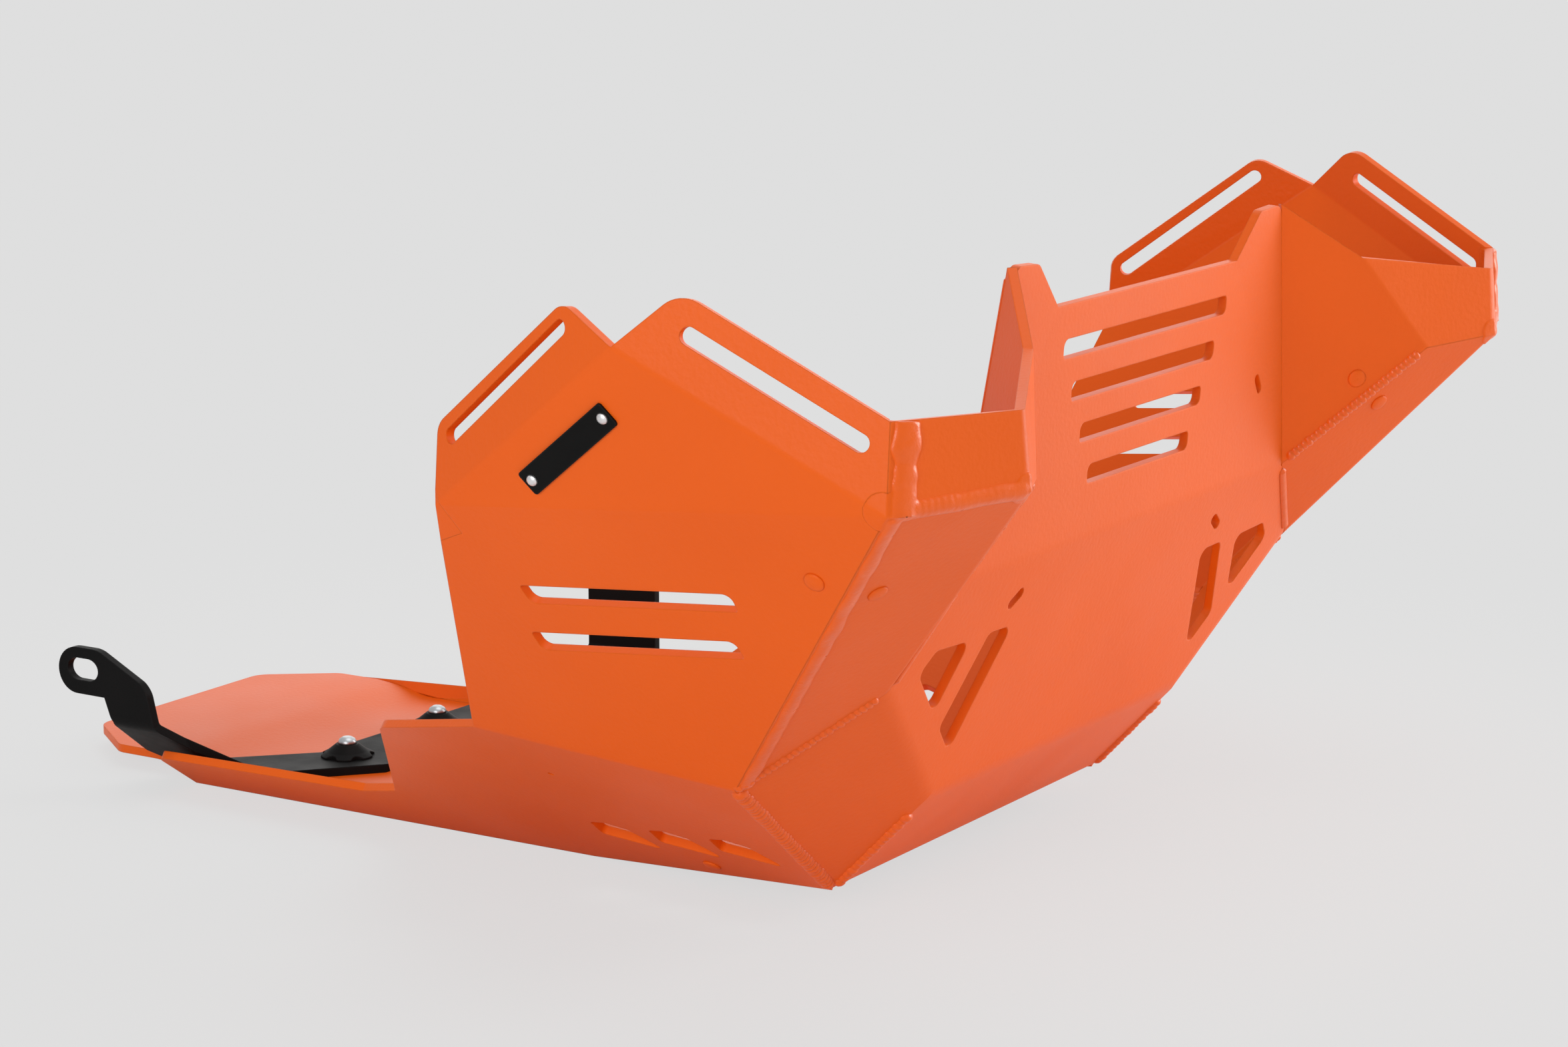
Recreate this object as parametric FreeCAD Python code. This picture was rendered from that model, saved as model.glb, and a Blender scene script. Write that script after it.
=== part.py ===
import FreeCAD, Part
import math
import os

V = FreeCAD.Vector

# Motorcycle skid plate with two side pockets for low fuel tanks.
# X runs forward, Y to the rider's left, Z up; the flat floor's underside is Z = 0.

# Sheet and bends
SHEET = 4.0
BEND_OUT = 5.0
BEND_IN = 2.0
SOFT_OUT = 14.0
RAMP_OUT = 60.0

# Tail tongue and floor
TIP_HALF = 60.5
TONGUE_HALF = 86.0
TONGUE_RISE = 6.5
CORNER_X = 34.4
RAMP_REAR = 64.0
RAMP_FRONT = 88.0
FLOOR_HALF = 91.5
BELLY_X = 321.5

# Chin and front face
CHIN_FOOT_X = 462.6
CHIN_FOOT_HALF = 118.2
CHIN_FOOT_Z = 13.9
CHIN_TOP_X = 507.5
CHIN_TOP_HALF = 115.2
CHIN_TOP_Z = 60.6
FACE_FOLD_X = 542.3
FACE_FOLD_Z = 163.0
FACE_TOP_X = 548.5
FACE_TOP_HALF = 83.6
FACE_TOP_Z = 265.5
CREASE_HALF = 150.0
FLANK_HALF = 184.8
FLANK_Z = 123.0
EAR_X = 547.6
EAR_HALF = 103.7
EAR_Z = 285.6
CREST_X = 551.0
CREST_HALF = 123.6
CREST_Z = 286.8

# Side pocket
KNEE_X = 596.2
KNEE_HALF = 188.9
KNEE_Z = 219.8
KNEE_TOP_Z = 260.5
NOSE_IN_X = 614.0
NOSE_IN_HALF = 226.5
NOSE_IN_Z = 219.6
NOSE_TOP_X = 611.5
NOSE_TOP_HALF = 227.1
NOSE_TOP_Z = 250.2
NOSE_OUT_X = 589.3
NOSE_OUT_HALF = 289.2
NOSE_OUT_Z = 219.9

# Wing
HIP_X = 382.7
HIP_HALF = 284.8
HIP_Z = 199.7
TOE_X = 475.2
TOE_HALF = 213.2
TOE_Z = 83.4
HEEL_X = 352.5
HEEL_HALF = 220.0
HIP_TRIM = 3.0
NOTCH_X = 483.8
NOTCH_HALF = 310.0
NOTCH_Z = 273.6
REAR_TOP_X = 455.9
REAR_TOP_Z = 287.0
REAR_LOW_X = 383.5
REAR_LOW_Z = 231.8
FRONT_TOP_X = 508.4
FRONT_TOP_Z = 295.0
FRONT_LOW_Z = 252.0
REAR_LEAN = 0.066
FRONT_LEAN = 0.125

# Tail side flange: width up the slope, low part and tall part
FLANGE_W = 37.5
FLANGE_REAR = 92.0
FLANGE_END = 214.0
STEP_X = 239.0
STEP_W = 47.0
STEP_TOP_X = 290.0
STEP_TOP_W = 139.0
LIP_REAR_X = 68.0
LIP_REAR_W = 10.6
LIP_END_W = 19.2

# Vents in the upper face: height of each row and its half length
VENT_ROWS = [(246.8, 76.1), (227.9, 66.7), (209.0, 56.6), (190.1, 47.3)]
VENT_H = 8.3
VENT_R_SHARP = 2.0
VENT_R_WIDE = 3.8

# Leaf openings and small slots in the lower face, as Y and Z
LEAF_OUT = [(124.4, 132.3), (152.7, 133.7), (161.8, 125.2), (136.8, 103.0)]
LEAF_IN = [(88.6, 131.9), (108.5, 132.4), (126.9, 94.3), (110.8, 80.2)]
LEAF_R = 4.5
TAB_SLOT = [(91.0, 146.4), (96.6, 142.9)]
TAB_SLOT_W = 5.0
EAR_SLOT = (116.6, 205.4)
EAR_SLOT_L = 10.0
EAR_SLOT_W = 4.5

# Blade openings in the belly side, as X and Y of the first one
BLADE = [(350.8, 136.9), (360.4, 139.9), (371.0, 137.6), (380.5, 121.8), (349.8, 125.4)]
BLADE_STEP = (34.5, 5.8)
BLADE_COUNT = 3
BLADE_R = 2.5
DRAIN = (366.5, 187.1)
DRAIN_W = 3.0

# Openings in the wing and its flanges, as X and Z
WING_UPPER = [(408.3, 167.2), (507.9, 175.7), (508.8, 167.9), (410.8, 159.4)]
WING_LOWER = [(404.7, 145.6), (501.9, 154.2), (503.8, 146.5), (407.0, 137.6)]
WING_R_SHARP = 1.5
WING_R_WIDE = 4.2
REAR_SLOT = [(389.3, 226.3), (457.4, 279.3)]
REAR_SLOT_W = 6.5
FRONT_SLOT = [(509.7, 280.6), (581.1, 242.2)]
FRONT_SLOT_W = 7.0

# Press-in plugs: head, shank and hole
PLUG_D = 8.5
PLUG_H = 1.2
PLUG_SHANK = 6.0
PLUG_WING = (548.3, 186.2)
PLUG_BELLY = (400.2, 115.7)
PLUG_FRONT = (251.7, 179.9)
PLUG_WALL = (167.4, 203.1)
PLUG_RETURN = (183.8, 189.8)

# Welds: radius of the rod and how far its middle sits under the skin
BEAD_R = 3.8
BEAD_SINK = 2.0
SEAM_R = 3.0
SEAM_SINK = 1.4
EDGE_R = 5.0
EDGE_SINK = 3.2
EDGE_SHIFT = 3.6
CORNER_R = 8.0
CORNER_SINK = 5.5
CORNER_SHIFT = 6.0
END_GAP = 6.0
CHEEK_BALL_R = 8.0
CHEEK_BALL_SINK = 5.0
NOSE_BALL_R = 6.0
NOSE_BALL_SINK = 3.6

# Rear bracket
STRAP = 4.0
STRAP_Z = 4.0
STRAP_REAR = 122.0
STRAP_FRONT = 163.0
KINK_HALF = 40.0
STRAP_BEND = 84.0
ARM_SLOPE = 0.727
ARM_HALF = 125.0
BEND_R = 7.0
NECK_REAR = 66.0
NECK_FRONT = 92.0
EYE_X = 44.6
EYE_Z = 57.0
EYE_R = 11.3
EYE_SLOT_L = 18.0
EYE_SLOT_W = 12.0
LEFT_REAR = 162.0
LEFT_FRONT = 203.0
LEFT_TOP = 104.0
LEFT_HOLE_Z = 88.0
BOLT_X = 136.5
BOLT_HALF = 36.0
BOLT_D = 6.0
BOLT_SINK_D = 12.5
BOLT_SINK_H = 3.2
BOSS_D = 26.0
BOSS_TOP_D = 11.0
BOSS_H = 6.0
BOSS_LOBES = 6
DOME_D = 9.0
DOME_H = 3.6

# Bare name plate on the right wing
TAG_MID = (453.9, 230.7)
TAG_L = 57.6
TAG_W = 10.9
TAG_T = 1.0
TAG_R = 1.5
TAG_SPAN = 50.0
TAG_RIVET_D = 5.0
TAG_RIVET_H = 1.4
TAG_SHANK = 3.0


def plane(a, b, c):
    n = (b - a).cross(c - a)
    n.normalize()
    return n, n.dot(a)


def onto(p, pl, way):
    # where the line through p along way meets the plane
    n, k = pl
    return p + way * ((k - n.dot(p)) / n.dot(way))


def meet(pl, ql, near):
    # point of the line of two planes nearest to a given point
    n, k = pl
    m, j = ql
    c = n.dot(m)
    d = 1.0 - c * c
    e = k - n.dot(near)
    f = j - m.dot(near)
    return near + n * ((e - c * f) / d) + m * ((f - c * e) / d)


def flip(p):
    return V(p.x, -p.y, p.z)


X = V(1, 0, 0)
Y = V(0, 1, 0)
Z = V(0, 0, 1)

# Corners of the left half, on the outer faces
K = {}
K["tip"] = V(0, TIP_HALF, TONGUE_RISE)
K["corner"] = V(CORNER_X, TONGUE_HALF, TONGUE_RISE)
K["ramp_r"] = V(RAMP_REAR, TONGUE_HALF, TONGUE_RISE)
K["ramp_f"] = V(RAMP_FRONT, FLOOR_HALF, 0)
K["belly"] = V(BELLY_X, FLOOR_HALF, 0)
K["foot"] = V(CHIN_FOOT_X, CHIN_FOOT_HALF, CHIN_FOOT_Z)
K["chin"] = V(CHIN_TOP_X, CHIN_TOP_HALF, CHIN_TOP_Z)
K["crease"] = V(FACE_FOLD_X, CREASE_HALF, FACE_FOLD_Z)
K["brow"] = V(FACE_TOP_X, FACE_TOP_HALF, FACE_TOP_Z)
lower_face = plane(K["chin"], K["crease"], flip(K["crease"]))
upper_face = plane(K["crease"], K["brow"], flip(K["brow"]))
K["flank"] = onto(V(0, FLANK_HALF, FLANK_Z), lower_face, X)
K["crest"] = V(CREST_X, CREST_HALF, CREST_Z)
ear_plane = plane(K["brow"], K["crease"], K["crest"])
K["ear"] = onto(V(EAR_X, EAR_HALF, EAR_Z), ear_plane, X)
K["nose_b"] = V(NOSE_IN_X, NOSE_IN_HALF, NOSE_IN_Z)
inner_front = plane(K["crease"], K["flank"], K["nose_b"])
K["knee_b"] = onto(V(KNEE_X, KNEE_HALF, KNEE_Z), inner_front, Z)
inner_wall = plane(K["crease"], K["crest"], K["knee_b"])
K["nose_t"] = V(NOSE_TOP_X, NOSE_TOP_HALF, NOSE_TOP_Z)
outer_wall = plane(K["knee_b"], K["nose_b"], K["nose_t"])
run = inner_wall[0].cross(outer_wall[0])
K["knee_t"] = K["knee_b"] + run * ((KNEE_TOP_Z - K["knee_b"].z) / run.z)
K["toe0"] = V(TOE_X, TOE_HALF, TOE_Z)
flank_plane = plane(K["flank"], K["chin"], K["foot"])
K["toe"] = onto(K["toe0"], flank_plane, Z)
K["cheek0"] = V(NOSE_OUT_X, NOSE_OUT_HALF, NOSE_OUT_Z)
pocket_plane = plane(K["toe"], K["flank"], K["nose_b"])
K["cheek"] = onto(K["cheek0"], pocket_plane, Z)
K["hip"] = V(HIP_X, HIP_HALF, HIP_Z)
wing_plane = plane(K["hip"], K["cheek"], K["toe"])
belly_plane = plane(K["belly"], K["foot"], K["toe"])
K["heel"] = onto(meet(wing_plane, belly_plane, V(HEEL_X, HEEL_HALF, TOE_Z)), wing_plane, X)
K["notch"] = V(NOTCH_X, NOTCH_HALF, NOTCH_Z)


def leaned(x, z, a, b, lean):
    # flange corner at the given x and z, on the plane that leans in from the fold a-b
    side = (b - a)
    side.normalize()
    up = V(0, -lean, 1)
    pl = plane(a, b, a + up)
    return onto(V(x, a.y, z), pl, Y)


K["rear_t"] = leaned(REAR_TOP_X, REAR_TOP_Z, K["hip"], K["notch"], REAR_LEAN)
K["rear_l"] = leaned(REAR_LOW_X, REAR_LOW_Z, K["hip"], K["notch"], REAR_LEAN)
K["front_t"] = leaned(FRONT_TOP_X, FRONT_TOP_Z, K["cheek"], K["notch"], FRONT_LEAN)
nose_plane = plane(K["nose_b"], K["nose_t"], K["cheek"])
front_plane = plane(K["cheek"], K["notch"], K["front_t"])
run = nose_plane[0].cross(front_plane[0])
K["front_l"] = K["cheek"] + run * ((FRONT_LOW_Z - K["cheek"].z) / run.z)


# Tail side flange: outline laid out in the plane of the floor fold and the heel
tail_plane = plane(K["ramp_f"], K["belly"], K["heel"])
rise = tail_plane[0].cross(X)
rise.normalize()
if rise.z < 0:
    rise = -rise


def up_tail(x, w):
    return V(x, FLOOR_HALF, 0) + rise * w


K["fl_rear"] = up_tail(FLANGE_REAR, FLANGE_W)
K["fl_end"] = up_tail(FLANGE_END, FLANGE_W)
K["step"] = up_tail(STEP_X, STEP_W)
K["step_t"] = up_tail(STEP_TOP_X, STEP_TOP_W)
K["lip_rear"] = up_tail(LIP_REAR_X, LIP_REAR_W)
K["lip_end"] = up_tail(FLANGE_END, LIP_END_W)
for k in list(K):
    K["-" + k] = flip(K[k])


def normal_of(pts):
    n = V(0, 0, 0)
    for i in range(len(pts)):
        n = n + pts[i].cross(pts[(i + 1) % len(pts)])
    n.normalize()
    return n


def solve(rows, rhs):
    # small linear system by elimination
    m = [list(r) + [b] for r, b in zip(rows, rhs)]
    size = len(m)
    for i in range(size):
        p = max(range(i, size), key=lambda r: abs(m[r][i]))
        m[i], m[p] = m[p], m[i]
        for r in range(size):
            if r != i:
                f = m[r][i] / m[i][i]
                m[r] = [u - f * w for u, w in zip(m[r], m[i])]
    return [m[i][size] / m[i][i] for i in range(size)]


def inner_corner(p, normals, t):
    # the corner of the inner faces, t inside every outer face that meets at p
    gram = [[a.dot(b) for b in normals] for a in normals]
    w = solve(gram, [-t] * len(normals))
    d = V(0, 0, 0)
    for n, c in zip(normals, w):
        d = d + n * c
    return p + d


def folded(panels, t):
    # one folded sheet: flat panels that share their fold lines, mitred inside
    names = {}
    faces_n = []
    for ring in panels:
        n = normal_of([K[k] for k in ring])
        faces_n.append(n)
        for k in ring:
            names.setdefault(k, []).append(n)
    inside = {k: inner_corner(K[k], ns, t) for k, ns in names.items()}
    count = {}
    for ring in panels:
        for i in range(len(ring)):
            e = (ring[i], ring[(i + 1) % len(ring)])
            count[frozenset(e)] = count.get(frozenset(e), 0) + 1
    # a free corner beside a fold follows the mitre, so that the cut edge stays flat
    for ring, n in zip(panels, faces_n):
        for i in range(len(ring)):
            k, before, after = ring[i], ring[i - 1], ring[(i + 1) % len(ring)]
            if len(names[k]) == 1 and (len(names[before]) > 1 or len(names[after]) > 1):
                sides = []
                for other in (before, after):
                    if len(names[other]) > 1:
                        sides.append((K[k] - K[other]).cross(inside[other] - K[other]))
                    else:
                        sides.append((K[k] - K[other]).cross(n))
                rows = [[c for c in w] for w in (sides[0], sides[1], n)]
                rhs = [sides[0].dot(K[k]), sides[1].dot(K[k]), n.dot(K[k]) - t]
                inside[k] = V(*solve(rows, rhs))
    faces = []
    for ring in panels:
        outer = [K[k] for k in ring]
        inner = [inside[k] for k in reversed(ring)]
        faces.append(Part.Face(Part.makePolygon(outer + [outer[0]])))
        faces.append(Part.Face(Part.makePolygon(inner + [inner[0]])))
        for i in range(len(ring)):
            a, b = ring[i], ring[(i + 1) % len(ring)]
            if count[frozenset((a, b))] == 1:
                quad = [K[a], K[b], inside[b], inside[a]]
                bulge = (quad[1] - quad[0]).cross(quad[3] - quad[0])
                bulge.normalize()
                if abs(bulge.dot(quad[2] - quad[0])) < 1e-6:
                    faces.append(Part.Face(Part.makePolygon(quad + [quad[0]])))
                else:
                    faces.append(Part.makeRuledSurface(Part.makeLine(quad[0], quad[1]), Part.makeLine(quad[3], quad[2])))
    shell = Part.makeShell(faces)
    shell.sewShape()
    body = Part.makeSolid(Part.Shell(shell.Faces))
    if body.Volume < 0:
        body.reverse()
    return body, inside


def edge_at(body, a, b):
    for e in body.Edges:
        if len(e.Vertexes) == 2:
            p, q = e.Vertexes[0].Point, e.Vertexes[1].Point
            if (p.sub(a).Length < 1e-3 and q.sub(b).Length < 1e-3) or \
                    (p.sub(b).Length < 1e-3 and q.sub(a).Length < 1e-3):
                return e
    return None


def rounded(body, inside, groups):
    # the outer and inner radius of each group of folds
    for folds, r_out, r_in in groups:
        body = body.makeFillet(r_out, [edge_at(body, K[a], K[b]) for a, b in folds])
        body = body.makeFillet(r_in, [edge_at(body, inside[a], inside[b]) for a, b in folds])
    return body


MAIN = [
    ["tip", "corner", "-corner", "-tip"],
    ["corner", "ramp_r", "-ramp_r", "-corner"],
    ["ramp_r", "ramp_f", "-ramp_f", "-ramp_r"],
    ["ramp_f", "belly", "-belly", "-ramp_f"],
    ["belly", "foot", "-foot", "-belly"],
    ["foot", "chin", "-chin", "-foot"],
    ["chin", "flank", "crease", "-crease", "-flank", "-chin"],
    ["crease", "brow", "-brow", "-crease"],
    ["crease", "crest", "ear", "brow"],
    ["-crease", "-brow", "-ear", "-crest"],
    ["foot", "toe", "flank", "chin"],
    ["-foot", "-chin", "-flank", "-toe"],
]
MAIN[0:2] = [["tip", "corner", "ramp_r", "-ramp_r", "-corner", "-tip"]]
WALL = [
    ["crease", "knee_b", "knee_t", "crest"],
    ["knee_b", "nose_b", "nose_t", "knee_t"],
    ["nose_b", "cheek", "front_l", "nose_t"],
]
FRONT = [
    ["toe", "cheek", "nose_b", "flank"],
    ["flank", "nose_b", "knee_b", "crease"],
]


def built(panels, groups, corners):
    # a folded sheet with rounded folds and rounded free corners
    body, inside = folded(panels, SHEET)
    body = rounded(body, inside, groups)
    for k, r in corners:
        body = body.makeFillet(r, [edge_at(body, K[k], inside[k])])
    return body


def trimmed(body, k, others, depth):
    # a pointed corner of several panels cut off flat
    out = V(0, 0, 0)
    for other in others:
        way = K[k] - K[other]
        way.normalize()
        out = out + way
    out.normalize()
    block = Part.makeBox(30.0, 30.0, 30.0, V(-15.0, -15.0, 0))
    block.Placement = FreeCAD.Placement(K[k] - out * depth, FreeCAD.Rotation(Z, out))
    return body.cut(block)


def side_panels(rear, end):
    # the side sheet, with the tall or the cut down tail flange
    return [
        ["ramp_f", rear, end, "step", "step_t", "heel", "belly"],
        ["belly", "heel", "toe", "foot"],
        ["heel", "hip", "cheek", "toe"],
        ["hip", "notch", "cheek"],
        ["hip", "rear_l", "rear_t", "notch"],
        ["notch", "front_t", "front_l", "cheek"],
    ]


main = built(MAIN, [
    ([("ramp_r", "-ramp_r")], RAMP_OUT - SHEET, RAMP_OUT),
    ([("ramp_f", "-ramp_f")], RAMP_OUT, RAMP_OUT - SHEET),
    ([("foot", "-foot")], SOFT_OUT, SOFT_OUT - SHEET),
    ([("chin", "-chin"), ("chin", "flank"), ("-chin", "-flank"), ("crease", "-crease")],
     SOFT_OUT, SOFT_OUT - SHEET),
], [("tip", 12.0), ("-tip", 12.0), ("corner", 10.0), ("-corner", 10.0),
    ("crest", 6.0), ("-crest", 6.0), ("ear", 6.0), ("-ear", 6.0)])
side_folds = [
    ([("heel", "toe")], BEND_OUT, BEND_IN),
    ([("hip", "cheek"), ("hip", "notch"), ("notch", "cheek")], BEND_OUT, BEND_IN),
]
wing_corners = [("front_t", 12.0), ("rear_t", 9.0), ("rear_l", 8.0), ("step_t", 10.0), ("step", 6.0)]
side_tall = built(side_panels("fl_rear", "fl_end"), side_folds, wing_corners + [("fl_rear", 5.0)])
side_low = built(side_panels("lip_rear", "lip_end"), side_folds, wing_corners)
side_tall = trimmed(side_tall, "hip", ["cheek", "heel", "notch", "rear_l"], HIP_TRIM)
wall = built(WALL, [([("knee_b", "knee_t"), ("nose_b", "nose_t")], BEND_OUT, BEND_IN)], [])
front = built(FRONT, [([("flank", "nose_b")], BEND_OUT, BEND_IN)], [])


# Corner reliefs where three sheets meet, each closed by a weld blob of the same ball

def relief(name, rings, r, sink, pole):
    out = V(0, 0, 0)
    for ring in rings:
        out = out + normal_of([K[k] for k in ring])
    out.normalize()
    return Part.makeSphere(r, K[name] - out * sink, K[pole] - K[name])


TF = ["crease", "crest", "ear", "brow"]
LF = ["foot", "toe", "flank", "chin"]
CHIN = ["foot", "chin", "-chin", "-foot"]
LOWER = ["chin", "flank", "crease", "-crease", "-flank", "-chin"]
BELLY = ["belly", "heel", "toe", "foot"]
WING = ["heel", "hip", "cheek", "toe"]
FFL = ["notch", "front_t", "front_l", "cheek"]
cheek_ball = relief("cheek", [WING, FFL, WALL[2], FRONT[0]], CHEEK_BALL_R, CHEEK_BALL_SINK, "front_l")
nose_ball = relief("nose_b", [WALL[1], WALL[2], FRONT[0], FRONT[1]], NOSE_BALL_R, NOSE_BALL_SINK, "nose_t")
side_tall = side_tall.cut(cheek_ball)
side_low = side_low.cut(cheek_ball)
wall = wall.cut(cheek_ball).cut(nose_ball)
front = front.cut(cheek_ball).cut(nose_ball)


# Openings

def window(points, radii, n, deep):
    # a prism through the sheet whose outline has its own radius at each corner
    edges = []
    starts = []
    ends = []
    for i in range(len(points)):
        p, a, b = points[i], points[i - 1], points[(i + 1) % len(points)]
        u = (a - p)
        u.normalize()
        w = (b - p)
        w.normalize()
        half = u.getAngle(w) / 2.0
        run_in = radii[i] / math.tan(half)
        mid = u + w
        mid.normalize()
        centre = p + mid * (radii[i] / math.sin(half))
        starts.append(p + u * run_in)
        ends.append(p + w * run_in)
        edges.append(Part.Arc(starts[i], centre - mid * radii[i], ends[i]).toShape())
    lines = []
    for i in range(len(points)):
        lines.append(edges[i])
        lines.append(Part.makeLine(ends[i], starts[(i + 1) % len(points)]))
    face = Part.Face(Part.Wire(Part.__sortEdges__(lines)))
    face.translate(n * -deep)
    return face.extrude(n * (2.0 * deep))


def slot(a, b, width, n, deep):
    # a long hole between the middles of its two round ends
    along = b - a
    along.normalize()
    across = n.cross(along) * (width / 2.0)
    tip_a = a - along * (width / 2.0)
    tip_b = b + along * (width / 2.0)
    wire = Part.Wire([
        Part.makeLine(a + across, b + across),
        Part.Arc(b + across, tip_b, b - across).toShape(),
        Part.makeLine(b - across, a - across),
        Part.Arc(a - across, tip_a, a + across).toShape(),
    ])
    face = Part.Face(wire)
    face.translate(n * -deep)
    return face.extrude(n * (2.0 * deep))


def facing(pl, way):
    # unit normal of a plane, turned towards a direction
    return pl[0] if pl[0].dot(way) > 0 else pl[0] * -1.0


DEEP = 3.0 * SHEET
up_n = facing(upper_face, X)
low_n = facing(lower_face, X)
ear_n = facing(ear_plane, X)
wing_n = facing(wing_plane, V(0, 1, -1))
belly_n = facing(belly_plane, V(0, 0, -1))
front_n = facing(pocket_plane, X)
wall_n = facing(inner_wall, Y * -1.0)
return_n = facing(inner_front, X)
rear_flange = plane(K["hip"], K["notch"], K["rear_t"])
front_flange = plane(K["cheek"], K["notch"], K["front_t"])
panel_plane = plane(K["hip"], K["notch"], K["cheek"])
panel_n = facing(panel_plane, Y)

for z, half in VENT_ROWS:
    low = z - VENT_H / 2.0
    top = z + VENT_H / 2.0
    ring = [V(0, -half, low), V(0, half, low), V(0, half, top), V(0, -half, top)]
    ring = [onto(p, upper_face, X) for p in ring]
    main = main.cut(window(ring, [VENT_R_SHARP, VENT_R_WIDE, VENT_R_SHARP, VENT_R_WIDE], up_n, DEEP))
for hand in (1.0, -1.0):
    for leaf in (LEAF_OUT, LEAF_IN):
        ring = [onto(V(0, hand * y, z), lower_face, X) for y, z in leaf]
        main = main.cut(window(ring, [LEAF_R] * 4, low_n, DEEP))
    a, b = [onto(V(0, hand * y, z), lower_face, X) for y, z in TAB_SLOT]
    main = main.cut(slot(a, b, TAB_SLOT_W, low_n, DEEP))
    mid = onto(V(0, EAR_SLOT[0], EAR_SLOT[1]), ear_plane, X)
    along = K["brow"] - K["crease"]
    along.normalize()
    along = along * ((EAR_SLOT_L - EAR_SLOT_W) / 2.0)
    a, b = mid - along, mid + along
    if hand < 0:
        a, b = flip(a), flip(b)
    main = main.cut(slot(a, b, EAR_SLOT_W, up_n, DEEP))
    main = main.cut(Part.makeCylinder(BOLT_D / 2.0, 5.0 * SHEET, V(BOLT_X, hand * BOLT_HALF, -SHEET), Z))
    main = main.cut(Part.makeCone(BOLT_SINK_D / 2.0, BOLT_D / 2.0, BOLT_SINK_H, V(BOLT_X, hand * BOLT_HALF, 0), Z))

side_cuts = []
for i in range(BLADE_COUNT):
    ring = [V(x + i * BLADE_STEP[0], y + i * BLADE_STEP[1], 0) for x, y in BLADE]
    ring = [onto(p, belly_plane, Z) for p in ring]
    side_cuts.append(window(ring, [BLADE_R] * len(ring), belly_n, DEEP))
a = onto(V(DRAIN[0], DRAIN[1], 0), belly_plane, Z)
side_cuts.append(Part.makeCylinder(DRAIN_W / 2.0, 2.0 * DEEP, a - belly_n * DEEP, belly_n))
for ring in (WING_UPPER, WING_LOWER):
    ring = [onto(V(x, 0, z), wing_plane, Y) for x, z in ring]
    side_cuts.append(window(ring, [WING_R_SHARP, WING_R_WIDE, WING_R_SHARP, WING_R_WIDE], wing_n, DEEP))
for ends, pl, width in ((REAR_SLOT, rear_flange, REAR_SLOT_W), (FRONT_SLOT, front_flange, FRONT_SLOT_W)):
    a, b = [onto(V(x, 0, z), pl, Y) for x, z in ends]
    # the given points are the round ends' tips
    along = b - a
    along.normalize()
    side_cuts.append(slot(a + along * (width / 2.0), b - along * (width / 2.0), width, facing(pl, Y), DEEP))


# Plugs: a low round head on the skin and a shank through the sheet

def cap(half, low, high):
    # outline of a low dome, from its rim to its top, in three straight steps
    pts = [V(half, 0, low), V(half * 0.84, 0, low + high * 0.5), V(half * 0.5, 0, low + high * 0.88)]
    pts.append(V(0, 0, low + high))
    return [Part.makeLine(pts[i], pts[i + 1]) for i in range(3)]


def plug(p, n):
    hole = Part.makeCylinder(PLUG_SHANK / 2.0, 2.0 * DEEP, p - n * DEEP, n)
    wire = Part.Wire([
        *cap(PLUG_D / 2.0, 0.4, PLUG_H - 0.4),
        Part.makeLine(V(PLUG_D / 2.0, 0, 0.4), V(PLUG_D / 2.0, 0, 0)),
        Part.makeLine(V(PLUG_D / 2.0, 0, 0), V(PLUG_SHANK / 2.0, 0, 0)),
        Part.makeLine(V(PLUG_SHANK / 2.0, 0, 0), V(PLUG_SHANK / 2.0, 0, -SHEET - PLUG_H)),
        Part.makeLine(V(PLUG_SHANK / 2.0, 0, -SHEET - PLUG_H), V(0, 0, -SHEET - PLUG_H)),
        Part.makeLine(V(0, 0, -SHEET - PLUG_H), V(0, 0, PLUG_H)),
    ])
    body = Part.Face(wire).revolve(V(0, 0, 0), Z, 360)
    turn = FreeCAD.Rotation(Z, n)
    body.Placement = FreeCAD.Placement(p, turn)
    return body, hole


wing_plug, hole = plug(onto(V(PLUG_WING[0], 0, PLUG_WING[1]), wing_plane, Y), wing_n)
side_cuts.append(hole)
belly_plug, hole = plug(onto(V(PLUG_BELLY[0], PLUG_BELLY[1], 0), belly_plane, Z), belly_n)
side_cuts.append(hole)
front_plug, front_hole = plug(onto(V(0, PLUG_FRONT[0], PLUG_FRONT[1]), pocket_plane, X), front_n)
wall_plug, wall_hole = plug(onto(V(0, PLUG_WALL[0], PLUG_WALL[1]), inner_wall, X), wall_n)
return_plug, return_hole = plug(onto(V(0, PLUG_RETURN[0], PLUG_RETURN[1]), inner_front, X), return_n)
plugs = [wing_plug, belly_plug, front_plug, wall_plug, return_plug]

# The sheets butt against each other: side on main, wall on both, front inside all three
side_tall = side_tall.cut(main)
side_low = side_low.cut(main)
for tool in side_cuts:
    side_tall = side_tall.cut(tool)
    side_low = side_low.cut(tool)
wall = wall.cut(side_low).cut(main).cut(wall_hole)
front = front.cut(wall).cut(main).cut(side_low).cut(front_hole).cut(return_hole)


def largest(shape):
    return max(shape.Solids, key=lambda s: s.Volume)


side_tall = largest(side_tall)
side_low = largest(side_low)
wall = largest(wall)
front = largest(front)
main = largest(main)


# Weld beads

def backing(ring, deep):
    # the room behind the skin of one panel
    pts = [K[k] for k in ring]
    n = normal_of(pts)
    return Part.Face(Part.makePolygon(pts + [pts[0]])).extrude(n * -deep), n


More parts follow.
